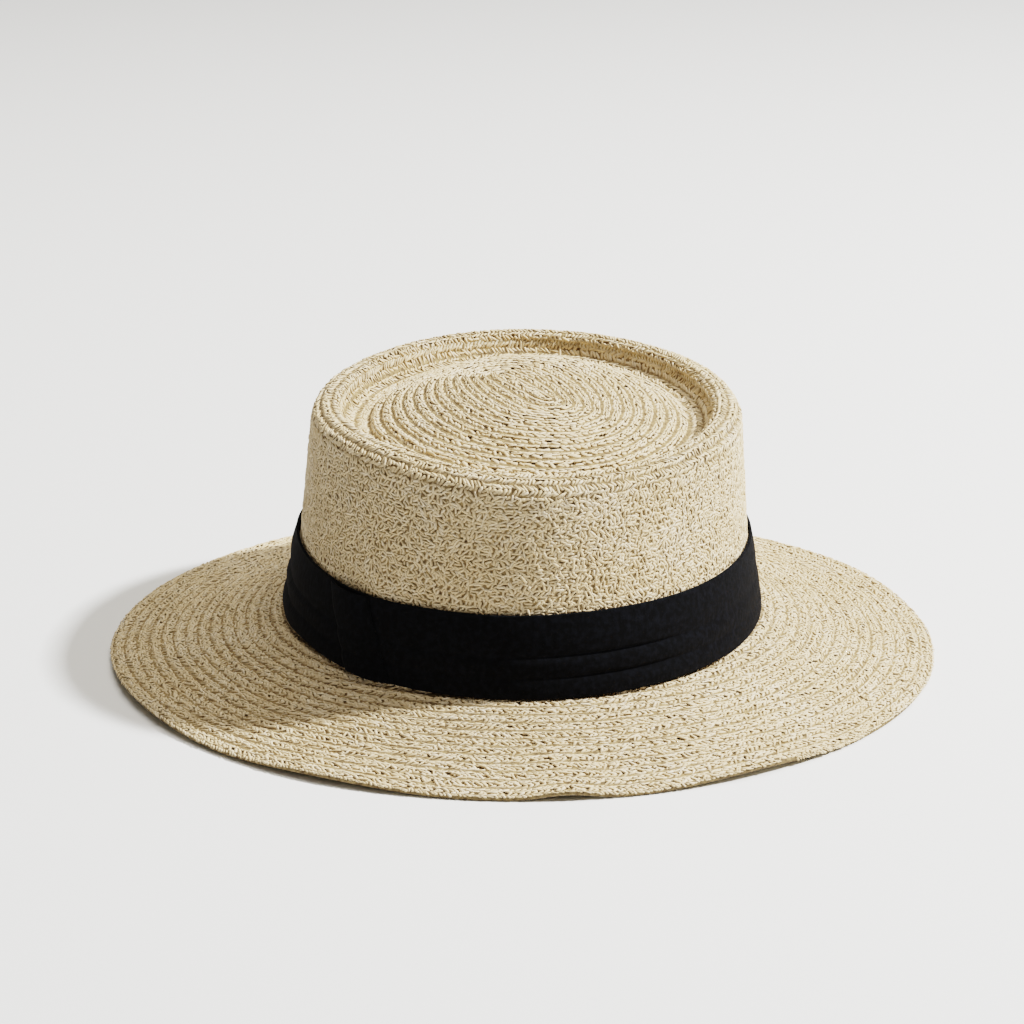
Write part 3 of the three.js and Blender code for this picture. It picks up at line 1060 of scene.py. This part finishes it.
class BoaterBraidSettings(bpy.types.PropertyGroup):
    """Sizes and colours of the straw braid."""

    row_pitch: length("Row pitch", "Distance from one row of braid to the next", 0.0044)
    ground_depth: length("Ground depth", "How far the straw under the strands is below the face", 0.0004)
    strand_sink: length("Strand sink", "How far the strands' middles are below the face", 0.00012)
    end_dip: length("End dip", "How far a strand's ends dive under its neighbours", 0.0003)
    looseness: number("Looseness", "How uneven the plait is, from 0 to 1 for a rough one", 1.0)
    straw_colour: colour("Straw", "Colour of the lit straw", "#D9C199")
    # The colour of the painted shade, mixed into the strands low down and where rows meet
    painted_shade_colour: colour("Gaps", "Colour where a strand dives under", "#80663E")


class BoaterBandSettings(bpy.types.PropertyGroup):
    """Sizes and colours of the cloth band."""

    cloth_gauge: length("Cloth", "Thickness of the loop's cloth", 0.0005)
    thread_pitch: length("Thread pitch", "Distance between threads, coarser than real to show", 0.0009)
    cloth_colour: colour("Cloth colour", "Colour of the black cloth", "#09090A")


class BoaterStageSettings(bpy.types.PropertyGroup):
    """Floor and lights."""

    floor_colour: colour("Floor", "Colour of the floor", "#E9E9E7")
    key_power: number("Key light", "Power of the key light", 140.0)
    top_power: number("Top light", "Power of the top light", 56.0)
    room_light: number("Room light", "Strength of the room", 0.12)


# Operators


def make_wall(mesh, solid):
    """Makes a straw wall the piece that stands for a solid."""
    finished(mesh, ["shaded_straw_ground", "pressed_straw_inner_side"], solid)
    colour_inside(mesh)


def lay(name, stitch, place, rows, rng, keep=None):
    """Lays rows of strands and makes them a piece of the hat."""
    mesh = laid_strands(name, place, rows, STITCHES[stitch], rng, keep)
    finished(mesh, ["plaited_paper_straw"])


class BOATER_OT_walls(bpy.types.Operator):
    """Make the straw walls of the crown and the brim"""

    bl_idname = "boater.walls"
    bl_label = "Straw walls"

    def execute(self, context):
        make_wall(crown_wall_mesh(), "crown")
        make_wall(brim_wall_mesh(), "brim")
        return {"FINISHED"}


class BOATER_OT_crown_braid(bpy.types.Operator):
    """Lay the crown's straw strands: the tip, the rim and the side"""

    bl_idname = "boater.crown_braid"
    bl_label = "Crown braid"

    def execute(self, context):
        pitch = context.scene.boater_braid.row_pitch / MM
        rng = np.random.default_rng(CROWN_SEED)
        tip = spiral(TIP_SPAN[0] * pitch, GROOVE_HALF + TIP_SPAN[1] * pitch, pitch * TIP_TIGHTNESS)
        outside = spiral(GROOVE_ARC + SIDE_SPAN[0] * pitch, BAND_TOP_ARC + SIDE_SPAN[1] * pitch, pitch)
        rim_rows = math.floor((SHOULDER_ARC - GROOVE_ARC) / pitch)
        lay("tip_braid", "tip", on_tip, tip, rng)
        lay("rim_braid", "rim", on_crown, outside[:rim_rows], rng)
        side_middle = (rim_rows + len(outside)) // 2
        lay("side_braid_upper", "side", on_crown, outside[rim_rows:side_middle], rng)
        lay("side_braid_lower", "side", on_crown, outside[side_middle:], rng)
        return {"FINISHED"}


class BOATER_OT_brim_braid(bpy.types.Operator):
    """Lay the brim's straw strands and the strands that turn round its edge"""

    bl_idname = "boater.brim_braid"
    bl_label = "Brim braid"

    def execute(self, context):
        pitch = context.scene.boater_braid.row_pitch / MM
        rng = np.random.default_rng(BRIM_SEED)
        rows = math.ceil(SIDE_REACH / pitch)
        centres = [-pitch * (row + 0.5) for row in range(rows)]
        third = math.ceil(rows / 3)
        for index, part in enumerate(("outer", "middle", "inner")):
            some = rings(centres[index * third : (index + 1) * third])
            lay(f"brim_braid_{part}", "brim", on_brim, some, rng, outside_crown)
        lay("brim_edge", "edge", on_brim, [*rings([EDGE_ROW]), tucked_row()], rng, past_notch)
        return {"FINISHED"}


class BOATER_OT_band(bpy.types.Operator):
    """Make the pleated cloth band and the loop over its join"""

    bl_idname = "boater.band"
    bl_label = "Band and loop"

    def execute(self, context):
        band = finished(band_mesh(), ["black_cotton_plain_weave"], "band")
        loop = finished(loop_mesh(), ["black_cotton_plain_weave"], "band_loop")
        wall = loop.modifiers.new("cloth", "SOLIDIFY")
        wall.thickness = context.scene.boater_band.cloth_gauge
        wall.offset = -1
        return {"FINISHED"}


class BOATER_OT_stage(bpy.types.Operator):
    """Make the floor, the lights and the camera"""

    bl_idname = "boater.stage"
    bl_label = "Stage"

    def execute(self, context):
        settings = context.scene.boater_stage
        make_floor()
        make_light("key", KEY_LIGHT, settings.key_power)
        make_light("top", TOP_LIGHT, settings.top_power)
        make_room(settings.room_light)
        make_camera()
        return {"FINISHED"}


def make_floor():
    """A wide floor at level 0, which is no piece of the hat."""
    half = FLOOR_SIZE * MM / 2
    mesh = bpy.data.meshes.new("floor")
    corners = [(-half, -half, 0), (half, -half, 0), (half, half, 0), (-half, half, 0)]
    mesh.from_pydata(corners, [], [(0, 1, 2, 3)])
    mesh.materials.append(material_of("pale_matt_paint"))
    linked("floor", mesh)


def make_light(name, stand, power):
    """A square lamp that looks at the hat. The smaller it is, the harder its shadows' edges are."""
    lamp = bpy.data.lights.new(name, "AREA")
    lamp.energy = power
    lamp.size = stand["size"] * MM
    lamp.color = stand["colour"]
    light = linked(name, lamp)
    turn = math.radians(stand["turn"])
    rise = math.radians(stand["rise"])
    toward = (math.cos(rise) * math.cos(turn), math.cos(rise) * math.sin(turn), math.sin(rise))
    light.location = [stand["far"] * MM * part for part in toward]
    light.rotation_euler = (-light.location).to_track_quat("-Z", "Y").to_euler()


def make_room(strength):
    """Even pale light from all sides."""
    world = bpy.data.worlds.new("room")
    world.use_nodes = True
    background = world.node_tree.nodes["Background"]
    background.inputs["Color"].default_value = opaque(WARM_LIGHT)
    background.inputs["Strength"].default_value = strength
    bpy.context.scene.world = world


def make_camera():
    """The camera, in front of the hat and above it."""
    data = bpy.data.cameras.new("camera")
    data.lens = CAMERA["lens"]
    data.sensor_width = CAMERA["sensor"]
    camera = linked("camera", data)
    camera.location = [CAMERA[axis] * MM for axis in "xyz"]
    camera.rotation_euler = (math.radians(CAMERA["pitch"]), 0, 0)
    bpy.context.scene.camera = camera


OPERATORS = (
    BOATER_OT_walls,
    BOATER_OT_crown_braid,
    BOATER_OT_brim_braid,
    BOATER_OT_band,
    BOATER_OT_stage,
)


class BOATER_PT_pieces(bpy.types.Panel):
    """The hat's pieces in the sidebar"""

    bl_label = "Straw boater"
    bl_space_type = "VIEW_3D"
    bl_region_type = "UI"
    bl_category = "Boater"

    def draw(self, context):
        for operator in OPERATORS:
            self.layout.operator(operator.bl_idname)
        for group in (context.scene.boater_braid, context.scene.boater_band, context.scene.boater_stage):
            for name in group.__annotations__:
                self.layout.prop(group, name)


CLASSES = (BoaterBraidSettings, BoaterBandSettings, BoaterStageSettings, *OPERATORS, BOATER_PT_pieces)


def register():
    """Registers the add-on's classes and settings."""
    for item in CLASSES:
        bpy.utils.register_class(item)
    bpy.types.Scene.boater_braid = bpy.props.PointerProperty(type=BoaterBraidSettings)
    bpy.types.Scene.boater_band = bpy.props.PointerProperty(type=BoaterBandSettings)
    bpy.types.Scene.boater_stage = bpy.props.PointerProperty(type=BoaterStageSettings)


def unregister():
    """Removes the add-on's settings and classes."""
    del bpy.types.Scene.boater_stage
    del bpy.types.Scene.boater_band
    del bpy.types.Scene.boater_braid
    for item in reversed(CLASSES):
        bpy.utils.unregister_class(item)


def main():
    """Makes the hat and its stage."""
    register()
    bpy.context.scene.view_settings.view_transform = "Filmic"
    bpy.context.scene.view_settings.look = "Medium High Contrast"
    bpy.ops.boater.walls()
    bpy.ops.boater.crown_braid()
    bpy.ops.boater.brim_braid()
    bpy.ops.boater.band()
    bpy.ops.boater.stage()


if __name__ == "__main__":
    main()
